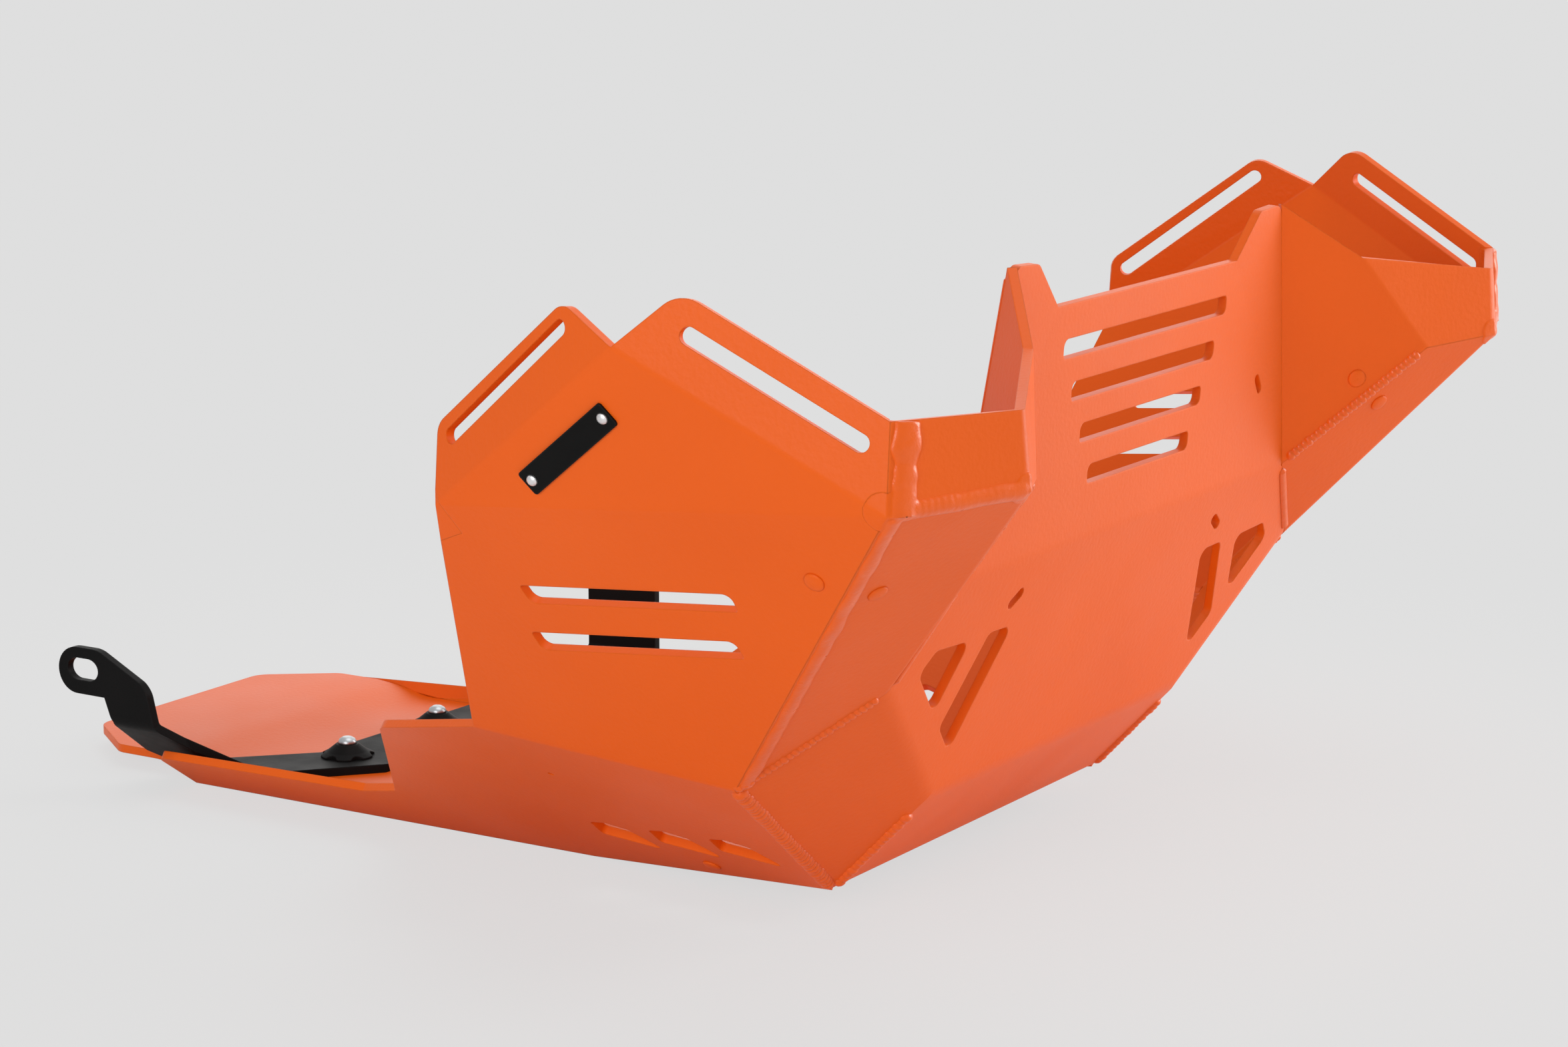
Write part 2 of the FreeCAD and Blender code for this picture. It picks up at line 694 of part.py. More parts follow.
def bead(a, b, r, sink, rings, start, end, ends=True, shift=0.0, toward=None):
    # a rod sunk into the joint a-b, of which only the crown outside the skin stays;
    # it may lie a little to one side of the joint, towards a named corner
    out = V(0, 0, 0)
    backs = []
    for ring in rings:
        back, n = backing(ring, 4.0 * SHEET)
        backs.append(back)
        out = out + n
    out.normalize()
    along = K[b] - K[a]
    length = along.Length
    along.normalize()
    p = K[a] + along * start - out * sink
    q = K[b] - along * end - out * sink
    if toward:
        side = K[toward] - K[a]
        side = side - along * side.dot(along)
        side.normalize()
        p, q = p + side * shift, q + side * shift
    rod = Part.makeCylinder(r, (q - p).Length, p, along)
    if ends:
        rod = rod.fuse(Part.makeCone(r, 0.5 * r, 0.8 * r, q, along))
        rod = rod.fuse(Part.makeCone(r, 0.5 * r, 0.8 * r, p, along * -1.0))
    for back in backs:
        rod = rod.cut(back)
    for sheet in (main, side_low, wall, front):
        if rod.common(sheet).Volume > 0.01:
            rod = rod.cut(sheet)
    return largest(rod)


welds = {
    "weld_corner": bead("cheek", "front_l", CORNER_R, CORNER_SINK, [FFL, WALL[2]], 2.0, 0.5, False,
                        CORNER_SHIFT, "nose_b"),
    "weld_wing_edge": bead("toe", "cheek", EDGE_R, EDGE_SINK, [WING, FRONT[0]], 4.0, 8.0, True,
                           EDGE_SHIFT, "flank"),
    "weld_nose": bead("cheek", "nose_b", BEAD_R, BEAD_SINK, [WALL[2], FRONT[0]], 8.0, 4.0),
    "weld_flank": bead("toe", "flank", SEAM_R, SEAM_SINK, [LF, FRONT[0]], END_GAP, END_GAP),
    "weld_belly": bead("toe", "foot", BEAD_R, BEAD_SINK, [BELLY, LF], END_GAP, END_GAP),
    "weld_chin": bead("foot", "chin", BEAD_R, BEAD_SINK, [LF, CHIN], END_GAP, 14.0),
    "weld_inner_foot": bead("crease", "flank", SEAM_R, SEAM_SINK, [LOWER, FRONT[1]], END_GAP, END_GAP),
    "weld_inner_knee": bead("crease", "knee_b", SEAM_R, SEAM_SINK, [WALL[0], FRONT[1]], END_GAP, END_GAP),
    "weld_inner_rear": bead("crease", "crest", SEAM_R, SEAM_SINK, [WALL[0], TF], END_GAP, END_GAP),
}

corner = largest(welds.pop("weld_corner").fuse(cheek_ball))
wing_edge = largest(welds.pop("weld_wing_edge").cut(corner))
nose = largest(welds.pop("weld_nose").cut(corner).fuse(nose_ball))
welds["weld_flank"] = largest(welds["weld_flank"].cut(wing_edge))


# Rear bracket: one strap, folded up along each rim; the right arm sweeps back to its eye

def arm_z(y):
    return STRAP_Z + (abs(y) - STRAP_BEND) * ARM_SLOPE


RIGHT_FOLD = [78.0, 124.0]
K["s_rear"] = V(STRAP_REAR, 60, STRAP_Z)
K["s_rear_r"] = V(STRAP_REAR, -KINK_HALF, STRAP_Z)
K["s_front_r"] = V(STRAP_FRONT, -KINK_HALF, STRAP_Z)
K["f_rear_r"] = V(RIGHT_FOLD[0], -STRAP_BEND, STRAP_Z)
K["f_front_r"] = V(RIGHT_FOLD[1], -STRAP_BEND, STRAP_Z)
K["a_mid_r"] = V(101.0, -108.0, arm_z(108.0))
K["a_low_r"] = V(63.0, -98.0, arm_z(98.0))
K["n_rear_r"] = V(NECK_REAR, -ARM_HALF, arm_z(ARM_HALF))
K["n_front_r"] = V(NECK_FRONT, -ARM_HALF, arm_z(ARM_HALF))
K["e1_r"] = V(61.5, -ARM_HALF, 45.6)
K["e2_r"] = V(EYE_X, -ARM_HALF, EYE_Z - EYE_R)
K["e3_r"] = V(EYE_X, -ARM_HALF, EYE_Z + EYE_R)
K["e4_r"] = V(58.0, -ARM_HALF, EYE_Z + EYE_R)
K["e5_r"] = V(87.0, -ARM_HALF, 54.0)
K["s_rear_l"] = V(STRAP_REAR + 4, STRAP_BEND, STRAP_Z)
K["s_front_l"] = V(STRAP_FRONT + 4, STRAP_BEND, STRAP_Z)
K["n_rear_l"] = V(LEFT_REAR, ARM_HALF, arm_z(ARM_HALF))
K["n_front_l"] = V(LEFT_FRONT, ARM_HALF, arm_z(ARM_HALF))
K["t_rear_l"] = V(LEFT_REAR, ARM_HALF, LEFT_TOP)
K["t_front_l"] = V(LEFT_FRONT, ARM_HALF, LEFT_TOP)
STRIP = [
    ["s_rear_r", "s_rear_l", "s_front_l", "s_front_r", "f_front_r", "f_rear_r"],
    ["f_rear_r", "f_front_r", "a_mid_r", "n_front_r", "n_rear_r", "a_low_r"],
    ["n_rear_r", "n_front_r", "e5_r", "e4_r", "e3_r", "e2_r", "e1_r"],
    ["s_front_l", "s_rear_l", "n_rear_l", "n_front_l"],
    ["n_front_l", "n_rear_l", "t_rear_l", "t_front_l"],
]
strap, strap_in = folded(STRIP, STRAP)
for folds, r_out in (([("f_rear_r", "f_front_r"), ("s_rear_l", "s_front_l")], BEND_R),
                     ([("n_rear_r", "n_front_r"), ("n_rear_l", "n_front_l")], BEND_R)):
    strap = strap.makeFillet(r_out, [edge_at(strap, K[a], K[b]) for a, b in folds])
    strap = strap.makeFillet(r_out - STRAP, [edge_at(strap, strap_in[a], strap_in[b]) for a, b in folds])
eye = Part.makeCylinder(EYE_R, STRAP, V(EYE_X, -ARM_HALF, EYE_Z), Y)
strap = strap.fuse(eye).removeSplitter()
reach = (EYE_SLOT_L - EYE_SLOT_W) / 2.0
mid = V(EYE_X + 5.5, -ARM_HALF, EYE_Z)
strap = strap.cut(slot(mid - X * reach, mid + X * reach, EYE_SLOT_W, Y, DEEP))
mid = V((LEFT_REAR + LEFT_FRONT) / 2.0, ARM_HALF, LEFT_HOLE_Z)
strap = strap.cut(slot(mid - X * reach, mid + X * reach, EYE_SLOT_W, Y, DEEP))
corners = []
for e in strap.Edges:
    if len(e.Vertexes) == 2:
        p, q = e.Vertexes[0].Point, e.Vertexes[1].Point
        if p.z > LEFT_TOP - 0.1 and q.z > LEFT_TOP - 0.1 and abs(p.x - q.x) < 0.1:
            corners.append(e)
strap = strap.makeFillet(14.0, corners)
for hand in (1.0, -1.0):
    strap = strap.cut(Part.makeCylinder(BOLT_D / 2.0, DEEP, V(BOLT_X, hand * BOLT_HALF, 0), Z))
strap = largest(strap)


# Bosses, countersunk bolts and their domed ends

def boss():
    r = BOSS_D / 2.0
    t = BOSS_TOP_D / 2.0
    waist = V((r + t) / 2.0 + 0.6, 0, BOSS_H * 0.42)
    wire = Part.Wire([
        Part.makeLine(V(BOLT_D / 2.0, 0, 0), V(r, 0, 0)),
        Part.makeLine(V(r, 0, 0), V(r, 0, 0.8)),
        Part.makeLine(V(r, 0, 0.8), waist),
        Part.makeLine(waist, V(t, 0, BOSS_H)),
        Part.makeLine(V(t, 0, BOSS_H), V(BOLT_D / 2.0, 0, BOSS_H)),
        Part.makeLine(V(BOLT_D / 2.0, 0, BOSS_H), V(BOLT_D / 2.0, 0, 0)),
    ])
    body = Part.Face(wire).revolve(V(0, 0, 0), Z, 360)
    for i in range(BOSS_LOBES):
        turn = 2.0 * math.pi * (i + 0.5) / BOSS_LOBES
        way = V(math.cos(turn), math.sin(turn), 0)
        body = body.cut(Part.makeCylinder(r * 0.32, BOSS_H * 2.0, way * (r * 1.16) - Z, Z))
    return body


def bolt():
    top = STRAP_Z + STRAP + BOSS_H
    r = BOLT_D / 2.0
    wire = Part.Wire([
        Part.makeLine(V(0, 0, 0), V(BOLT_SINK_D / 2.0, 0, 0)),
        Part.makeLine(V(BOLT_SINK_D / 2.0, 0, 0), V(r, 0, BOLT_SINK_H)),
        Part.makeLine(V(r, 0, BOLT_SINK_H), V(r, 0, top)),
        Part.makeLine(V(r, 0, top), V(DOME_D / 2.0, 0, top)),
        Part.makeLine(V(DOME_D / 2.0, 0, top), V(DOME_D / 2.0, 0, top + 1.0)),
        *cap(DOME_D / 2.0, top + 1.0, DOME_H - 1.0),
        Part.makeLine(V(0, 0, top + DOME_H), V(0, 0, 0)),
    ])
    return Part.Face(wire).revolve(V(0, 0, 0), Z, 360)


bosses = []
bolts = []
for hand in (1.0, -1.0):
    at = V(BOLT_X, hand * BOLT_HALF, 0)
    one = boss()
    one.translate(at + Z * (STRAP_Z + STRAP))
    bosses.append(one)
    one = bolt()
    one.translate(at)
    bolts.append(one)

# Bare name plate and its two rivets, laid out on the left and mirrored to the right wing
along = K["notch"] - K["hip"]
along.normalize()
mid = onto(V(TAG_MID[0], 0, TAG_MID[1]), panel_plane, Y)
across = panel_n.cross(along)
across.normalize()
ring = []
for u, w in ((-1, -1), (1, -1), (1, 1), (-1, 1)):
    ring.append(mid + along * (u * TAG_L / 2.0) + across * (w * TAG_W / 2.0))
tag = window(ring, [TAG_R] * 4, panel_n, TAG_T / 2.0)
tag.translate(panel_n * (TAG_T / 2.0))
rivets = []
for u in (-1, 1):
    r = TAG_RIVET_D / 2.0
    s = TAG_SHANK / 2.0
    wire = Part.Wire([
        *cap(r, 0, TAG_RIVET_H),
        Part.makeLine(V(0, 0, TAG_RIVET_H), V(0, 0, -TAG_T - SHEET)),
        Part.makeLine(V(0, 0, -TAG_T - SHEET), V(s, 0, -TAG_T - SHEET)),
        Part.makeLine(V(s, 0, -TAG_T - SHEET), V(s, 0, 0)),
        Part.makeLine(V(s, 0, 0), V(r, 0, 0)),
    ])
    one = Part.Face(wire).revolve(V(0, 0, 0), Z, 360)
    place = mid + along * (u * TAG_SPAN / 2.0) + panel_n * TAG_T
    one.Placement = FreeCAD.Placement(place, FreeCAD.Rotation(Z, panel_n))
    rivets.append(one)
    hole = Part.makeCylinder(s, 4.0 * SHEET, place - panel_n * (3.0 * SHEET), panel_n)
    side_tall = side_tall.cut(hole)
    tag = tag.cut(hole)
side_tall = largest(side_tall)


def mirrored(shape):
    return shape.mirror(V(0, 0, 0), Y)


nodes = {
    "weld_cheek_left": [corner, wing_edge, nose],
    "weld_cheek_right": [mirrored(s) for s in (corner, wing_edge, nose)],
    "main_plate": [main],
    "side_panel_left": [side_low],
    "side_panel_right": [mirrored(side_tall)],
    "pocket_wall_left": [wall],
    "pocket_wall_right": [mirrored(wall)],
    "pocket_front_left": [front],
    "pocket_front_right": [mirrored(front)],
    "plugs_left": plugs,
    "plugs_right": [mirrored(p) for p in plugs],
    "rear_bracket": [strap],
    "bracket_bosses": bosses,
    "bracket_bolts": bolts,
    "name_plate": [mirrored(tag)],
    "name_plate_rivets": [mirrored(r) for r in rivets],
}
for name, one in welds.items():
    nodes[name + "_left"] = [one]
    nodes[name + "_right"] = [mirrored(one)]

# The origin goes under the middle of the whole part, on the floor
box = Part.makeCompound([s for group in nodes.values() for s in group]).optimalBoundingBox(False)
shift = V(-box.Center.x, -box.Center.y, -box.ZMin)
os.makedirs("parts", exist_ok=True)
for name, solids in nodes.items():
    shape = solids[0] if len(solids) == 1 else Part.makeCompound(solids)
    shape.translate(shift)
    shape.exportStep("parts/" + name + ".step")
    print(name, shape.isValid(), len(shape.Solids))
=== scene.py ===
import math
import bmesh
import bpy
from mathutils import Matrix, Vector, noise


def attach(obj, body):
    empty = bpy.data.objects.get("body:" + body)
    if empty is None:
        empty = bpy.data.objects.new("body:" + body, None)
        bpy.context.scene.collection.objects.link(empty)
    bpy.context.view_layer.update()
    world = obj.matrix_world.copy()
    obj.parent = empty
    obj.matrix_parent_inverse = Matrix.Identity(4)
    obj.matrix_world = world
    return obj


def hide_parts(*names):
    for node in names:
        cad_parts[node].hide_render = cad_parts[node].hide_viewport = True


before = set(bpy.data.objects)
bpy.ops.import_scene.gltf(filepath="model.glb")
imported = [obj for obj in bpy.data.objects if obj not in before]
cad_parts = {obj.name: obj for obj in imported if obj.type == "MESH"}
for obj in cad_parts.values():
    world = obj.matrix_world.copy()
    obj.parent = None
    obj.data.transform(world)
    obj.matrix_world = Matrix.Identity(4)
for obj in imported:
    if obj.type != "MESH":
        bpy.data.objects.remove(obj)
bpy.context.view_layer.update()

scene = bpy.context.scene
scene.view_settings.view_transform = "Standard"

# Camera at the photograph's place: level horizon, long lens
EYE = Vector((0.96721, -1.4514, 0.4909))
RIGHT = Vector((0.84694, 0.53169, 0.0))
UP = Vector((-0.10626, 0.16926, 0.97983))
BACK = Vector((0.52097, -0.82985, 0.19985))


def set_camera():
    lens = bpy.data.cameras.new("photo camera")
    lens.sensor_width = 36.0
    lens.lens = 88.06
    lens.clip_end = 60.0
    holder = bpy.data.objects.new("photo camera", lens)
    turn = Matrix((RIGHT, UP, BACK)).transposed().to_4x4()
    holder.matrix_world = Matrix.Translation(EYE) @ turn
    scene.collection.objects.link(holder)
    scene.camera = holder


def soft_lamp(name, place, aim, size, watts, tint):
    data = bpy.data.lights.new(name, "AREA")
    data.shape = "DISK"
    data.size = size
    data.energy = watts
    data.color = tint
    lamp = bpy.data.objects.new(name, data)
    way = Vector(aim) - Vector(place)
    lamp.rotation_euler = way.to_track_quat("-Z", "Y").to_euler()
    lamp.location = place
    scene.collection.objects.link(lamp)


# Backdrop tone, linear: the photograph's even pale grey
BACKDROP = (0.737, 0.737, 0.737, 1.0)


def set_world():
    world = bpy.data.worlds.new("studio")
    scene.world = world
    world.use_nodes = True
    nodes, links = world.node_tree.nodes, world.node_tree.links
    nodes.clear()
    out = nodes.new("ShaderNodeOutputWorld")
    seen = nodes.new("ShaderNodeBackground")
    seen.inputs["Color"].default_value = BACKDROP
    seen.inputs["Strength"].default_value = 1.0
    fill = nodes.new("ShaderNodeBackground")
    fill.inputs["Color"].default_value = (1.0, 0.99, 0.98, 1.0)
    fill.inputs["Strength"].default_value = 0.42
    path = nodes.new("ShaderNodeLightPath")
    straight = nodes.new("ShaderNodeMath")
    straight.operation = "MAXIMUM"
    either = nodes.new("ShaderNodeMath")
    either.operation = "MAXIMUM"
    mix = nodes.new("ShaderNodeMixShader")
    links.new(path.outputs["Is Camera Ray"], straight.inputs[0])
    links.new(path.outputs["Is Transmission Ray"], straight.inputs[1])
    links.new(straight.outputs[0], either.inputs[0])
    links.new(path.outputs["Is Glossy Ray"], either.inputs[1])
    links.new(either.outputs[0], mix.inputs["Fac"])
    links.new(fill.outputs[0], mix.inputs[1])
    links.new(seen.outputs[0], mix.inputs[2])
    links.new(mix.outputs[0], out.inputs["Surface"])


def pale_floor():
    # a wide sheet that keeps the shadow near the part and melts into the backdrop further out
    mesh = bpy.data.meshes.new("floor")
    r = 9.0
    mesh.from_pydata([(-r, -r, 0), (r, -r, 0), (r, r, 0), (-r, r, 0)], [], [(0, 1, 2, 3)])
    floor = bpy.data.objects.new("floor", mesh)
    floor.location = (0, 0, -0.0006)
    scene.collection.objects.link(floor)
    paper = bpy.data.materials.new("pale paper")
    paper.use_nodes = True
    nodes, links = paper.node_tree.nodes, paper.node_tree.links
    nodes.clear()
    out = nodes.new("ShaderNodeOutputMaterial")
    lit = nodes.new("ShaderNodeBsdfDiffuse")
    lit.inputs["Color"].default_value = (0.88, 0.88, 0.88, 1.0)
    glow = nodes.new("ShaderNodeEmission")
    glow.inputs["Color"].default_value = BACKDROP
    place = nodes.new("ShaderNodeTexCoord")
    far = nodes.new("ShaderNodeVectorMath")
    far.operation = "LENGTH"
    fade = nodes.new("ShaderNodeMapRange")
    fade.interpolation_type = "SMOOTHSTEP"
    fade.inputs["From Min"].default_value = 0.25
    fade.inputs["From Max"].default_value = 0.75
    fade.inputs["To Min"].default_value = 0.88
    fade.inputs["To Max"].default_value = 1.0
    path = nodes.new("ShaderNodeLightPath")
    seen = nodes.new("ShaderNodeMath")
    seen.operation = "MULTIPLY"
    mix = nodes.new("ShaderNodeMixShader")
    links.new(place.outputs["Object"], far.inputs[0])
    links.new(far.outputs["Value"], fade.inputs["Value"])
    links.new(fade.outputs["Result"], seen.inputs[0])
    links.new(path.outputs["Is Camera Ray"], seen.inputs[1])
    links.new(seen.outputs[0], mix.inputs["Fac"])
    links.new(lit.outputs[0], mix.inputs[1])
    links.new(glow.outputs[0], mix.inputs[2])
    links.new(mix.outputs[0], out.inputs["Surface"])
    mesh.materials.append(paper)


# Shared surface effects

def add_socket(group, name, way, kind, value=None):
    socket = group.interface.new_socket(name=name, in_out=way, socket_type=kind)
    if value is not None:
        socket.default_value = value


def make_peel():
    # orange peel of a powder coat: broad soft dimples with a fine grit on top
    group = bpy.data.node_groups.new("powder coat peel", "ShaderNodeTree")
    add_socket(group, "Dimple size", "INPUT", "NodeSocketFloat", 520.0)
    add_socket(group, "Grit size", "INPUT", "NodeSocketFloat", 2600.0)
    add_socket(group, "Grit share", "INPUT", "NodeSocketFloat", 0.25)
    add_socket(group, "Height", "OUTPUT", "NodeSocketFloat")
    nodes, links = group.nodes, group.links
    ins = nodes.new("NodeGroupInput")
    out = nodes.new("NodeGroupOutput")
    place = nodes.new("ShaderNodeTexCoord")
    dimple = nodes.new("ShaderNodeTexNoise")
    dimple.inputs["Detail"].default_value = 1.0
    grit = nodes.new("ShaderNodeTexNoise")
    grit.inputs["Detail"].default_value = 2.0
    mix = nodes.new("ShaderNodeMix")
    links.new(place.outputs["Object"], dimple.inputs["Vector"])
    links.new(place.outputs["Object"], grit.inputs["Vector"])
    links.new(ins.outputs["Dimple size"], dimple.inputs["Scale"])
    links.new(ins.outputs["Grit size"], grit.inputs["Scale"])
    links.new(ins.outputs["Grit share"], mix.inputs["Factor"])
    links.new(dimple.outputs["Fac"], mix.inputs["A"])
    links.new(grit.outputs["Fac"], mix.inputs["B"])
    links.new(mix.outputs["Result"], out.inputs["Height"])
    return group


def make_edges():
    # how near a point is to an edge, from the softened normal of rounded edges: the mask for the
    # painted highlight on edges
    group = bpy.data.node_groups.new("softened edges", "ShaderNodeTree")
    add_socket(group, "Edge", "OUTPUT", "NodeSocketFloat")
    nodes, links = group.nodes, group.links
    out = nodes.new("NodeGroupOutput")
    round_off = nodes.new("ShaderNodeBevel")
    round_off.samples = 4
    round_off.inputs["Radius"].default_value = 0.0012
    shape = nodes.new("ShaderNodeNewGeometry")
    agree = nodes.new("ShaderNodeVectorMath")
    agree.operation = "DOT_PRODUCT"
    near = nodes.new("ShaderNodeMapRange")
    near.inputs["From Min"].default_value = 0.995
    near.inputs["From Max"].default_value = 0.80
    links.new(round_off.outputs["Normal"], agree.inputs[0])
    links.new(shape.outputs["True Normal"], agree.inputs[1])
    links.new(agree.outputs["Value"], near.inputs["Value"])
    links.new(near.outputs["Result"], out.inputs["Edge"])
    return group


def make_drift():
    # slow change over a surface, for tone and gloss that are never quite even
    group = bpy.data.node_groups.new("slow drift", "ShaderNodeTree")
    add_socket(group, "Patch size", "INPUT", "NodeSocketFloat", 9.0)
    add_socket(group, "Low", "INPUT", "NodeSocketFloat", 0.0)
    add_socket(group, "High", "INPUT", "NodeSocketFloat", 1.0)
    add_socket(group, "Value", "OUTPUT", "NodeSocketFloat")
    nodes, links = group.nodes, group.links
    ins = nodes.new("NodeGroupInput")
    out = nodes.new("NodeGroupOutput")
    place = nodes.new("ShaderNodeTexCoord")
    cloud = nodes.new("ShaderNodeTexNoise")
    cloud.inputs["Detail"].default_value = 3.0
    spread = nodes.new("ShaderNodeMapRange")
    spread.inputs["From Min"].default_value = 0.3
    spread.inputs["From Max"].default_value = 0.7
    links.new(place.outputs["Object"], cloud.inputs["Vector"])
    links.new(ins.outputs["Patch size"], cloud.inputs["Scale"])
    links.new(cloud.outputs["Fac"], spread.inputs["Value"])
    links.new(ins.outputs["Low"], spread.inputs["To Min"])
    links.new(ins.outputs["High"], spread.inputs["To Max"])
    links.new(spread.outputs["Result"], out.inputs["Value"])
    return group


PEEL = make_peel()
EDGES = make_edges()
DRIFT = make_drift()


def group_node(tree, group, **values):
    node = tree.nodes.new("ShaderNodeGroup")
    node.node_tree = group
    for name, value in values.items():
        node.inputs[name.replace("_", " ").capitalize()].default_value = value
    return node


def blank_material(name, metallic, coat, coat_gloss, specular):
    material = bpy.data.materials.new(name)
    material.use_nodes = True
    shader = material.node_tree.nodes["Principled BSDF"]
    shader.inputs["Metallic"].default_value = metallic
    shader.inputs["Coat Weight"].default_value = coat
    shader.inputs["Coat Roughness"].default_value = coat_gloss
    shader.inputs["Specular IOR Level"].default_value = specular
    return material, material.node_tree, shader


def tone(tree, shader, base, deep, edge_highlight_colour, edge_highlight_share, patch):
    # base colour that drifts a little, with a painted highlight that pales it on edges
    drift = group_node(tree, DRIFT, patch_size=patch)
    body = tree.nodes.new("ShaderNodeMix")
    body.data_type = "RGBA"
    body.inputs["A"].default_value = (*base, 1.0)
    body.inputs["B"].default_value = (*deep, 1.0)
    edges = group_node(tree, EDGES)
    share = tree.nodes.new("ShaderNodeMath")
    share.operation = "MULTIPLY"
    share.inputs[1].default_value = edge_highlight_share
    # painted highlight: the colour turns paler near edges
    top = tree.nodes.new("ShaderNodeMix")
    top.data_type = "RGBA"
    top.inputs["B"].default_value = (*edge_highlight_colour, 1.0)
    tree.links.new(drift.outputs["Value"], body.inputs["Factor"])
    tree.links.new(edges.outputs["Edge"], share.inputs[0])
    tree.links.new(share.outputs[0], top.inputs["Factor"])
    tree.links.new(body.outputs["Result"], top.inputs["A"])
    tree.links.new(top.outputs["Result"], shader.inputs["Base Color"])


def gloss(tree, shader, low, high, patch):
    drift = group_node(tree, DRIFT, patch_size=patch, low=low, high=high)
    tree.links.new(drift.outputs["Value"], shader.inputs["Roughness"])


def grain(tree, shader, height, strength, distance):
    bump = tree.nodes.new("ShaderNodeBump")
    bump.inputs["Strength"].default_value = strength
    bump.inputs["Distance"].default_value = distance
    soft = tree.nodes.new("ShaderNodeBevel")
    soft.samples = 4
    soft.inputs["Radius"].default_value = 0.0009
    tree.links.new(height, bump.inputs["Height"])
    tree.links.new(soft.outputs["Normal"], bump.inputs["Normal"])
    tree.links.new(bump.outputs["Normal"], shader.inputs["Normal"])


def orange_powder_coat():
    material, tree, shader = blank_material("orange powder coat", 0.0, 0.0, 0.30, 0.21)
    tone(tree, shader, (0.78, 0.110, 0.0035), (0.75, 0.103, 0.003), (0.86, 0.15, 0.012), 0.5, 11.0)
    gloss(tree, shader, 0.38, 0.46, 14.0)
    peel = group_node(tree, PEEL, dimple_size=480.0, grit_size=2400.0, grit_share=0.2)
    grain(tree, shader, peel.outputs["Height"], 0.35, 0.00035)
    return material


def coated_weld():
    # the same coat run thicker over the beads, glossier on the crowns
    material, tree, shader = blank_material("orange coat over weld", 0.0, 0.25, 0.12, 0.25)
    tone(tree, shader, (0.78, 0.110, 0.0035), (0.75, 0.103, 0.003), (0.86, 0.15, 0.012), 0.2, 60.0)
    gloss(tree, shader, 0.26, 0.40, 120.0)
    peel = group_node(tree, PEEL, dimple_size=340.0, grit_size=1500.0, grit_share=0.3)
    grain(tree, shader, peel.outputs["Height"], 0.5, 0.0006)
    return material


def satin_black_coat():
    material, tree, shader = blank_material("satin black coat", 0.0, 0.0, 0.3, 0.05)
    # edge is the colour of the painted highlight on edges
    black, worn, edge = (0.005, 0.005, 0.005), (0.007, 0.0065, 0.0065), (0.02, 0.02, 0.02)
    tone(tree, shader, black, worn, edge, 0.5, 30.0)
    gloss(tree, shader, 0.40, 0.54, 40.0)
    peel = group_node(tree, PEEL, dimple_size=900.0, grit_size=3600.0, grit_share=0.5)
    grain(tree, shader, peel.outputs["Height"], 0.4, 0.0002)
    return material


def bright_zinc():
    material, tree, shader = blank_material("bright zinc", 1.0, 0.0, 0.2, 0.5)
    tone(tree, shader, (0.48, 0.50, 0.52), (0.40, 0.42, 0.44), (0.62, 0.63, 0.64), 0.4, 260.0)
    gloss(tree, shader, 0.30, 0.44, 420.0)
    peel = group_node(tree, PEEL, dimple_size=1400.0, grit_size=5200.0, grit_share=0.4)
    grain(tree, shader, peel.outputs["Height"], 0.2, 0.0001)
    return material


def black_anodised():
    # fine brushing under a dark anodised film, along the plate
    material, tree, shader = blank_material("black anodised plate", 0.0, 0.0, 0.2, 0.08)
    tone(tree, shader, (0.002, 0.002, 0.002), (0.003, 0.003, 0.003), (0.03, 0.03, 0.03), 0.5, 80.0)
    gloss(tree, shader, 0.34, 0.48, 160.0)
    place = tree.nodes.new("ShaderNodeTexCoord")
    turn = tree.nodes.new("ShaderNodeMapping")
    turn.inputs["Rotation"].default_value = (0.0, math.radians(41.0), 0.0)
    turn.inputs["Scale"].default_value = (60.0, 2200.0, 2200.0)
    hair = tree.nodes.new("ShaderNodeTexNoise")
    hair.inputs["Scale"].default_value = 1.0
    hair.inputs["Detail"].default_value = 2.0
    tree.links.new(place.outputs["Object"], turn.inputs["Vector"])
    tree.links.new(turn.outputs["Vector"], hair.inputs["Vector"])
    grain(tree, shader, hair.outputs["Fac"], 0.25, 0.0001)
    return material


def bare_aluminium():
    material, tree, shader = blank_material("bare aluminium", 1.0, 0.0, 0.2, 0.5)
    tone(tree, shader, (0.78, 0.78, 0.79), (0.66, 0.66, 0.67), (0.92, 0.92, 0.92), 0.4, 300.0)
    gloss(tree, shader, 0.24, 0.38, 500.0)
    peel = group_node(tree, PEEL, dimple_size=1600.0, grit_size=6000.0, grit_share=0.5)
    grain(tree, shader, peel.outputs["Height"], 0.2, 0.0001)
    return material


COAT = orange_powder_coat()
WELD = coated_weld()
BLACK = satin_black_coat()
FINISH = {
    "rear_bracket": BLACK,
    "bracket_bosses": BLACK,
    "bracket_bolts": bright_zinc(),
    "name_plate": black_anodised(),
    "name_plate_rivets": bare_aluminium(),
}
for name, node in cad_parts.items():
    finish = FINISH.get(name, WELD if name.startswith("weld_") else COAT)
    node.data.materials.clear()
    node.data.materials.append(finish)


# Rippled weld beads: the left side's seams in metres, with the bead's radius and the pitch
# of its ripples
SEAMS = {
    "weld_flank": ((0.16780, 0.21180, 0.08370), (0.21509, 0.1867, 0.12054), 0.0030, 0.0026),
    "weld_belly": ((0.16555, 0.20732, 0.07956), (0.15424, 0.12204, 0.01892), 0.0038, 0.0028),
    "weld_chin": ((0.15703, 0.11756, 0.01957), (0.18808, 0.11548, 0.05187), 0.0038, 0.0028),
    "weld_inner_knee": ((0.23673, 0.15347, 0.1673), (0.28305, 0.1869, 0.21337), 0.0030, 0.0026),
}


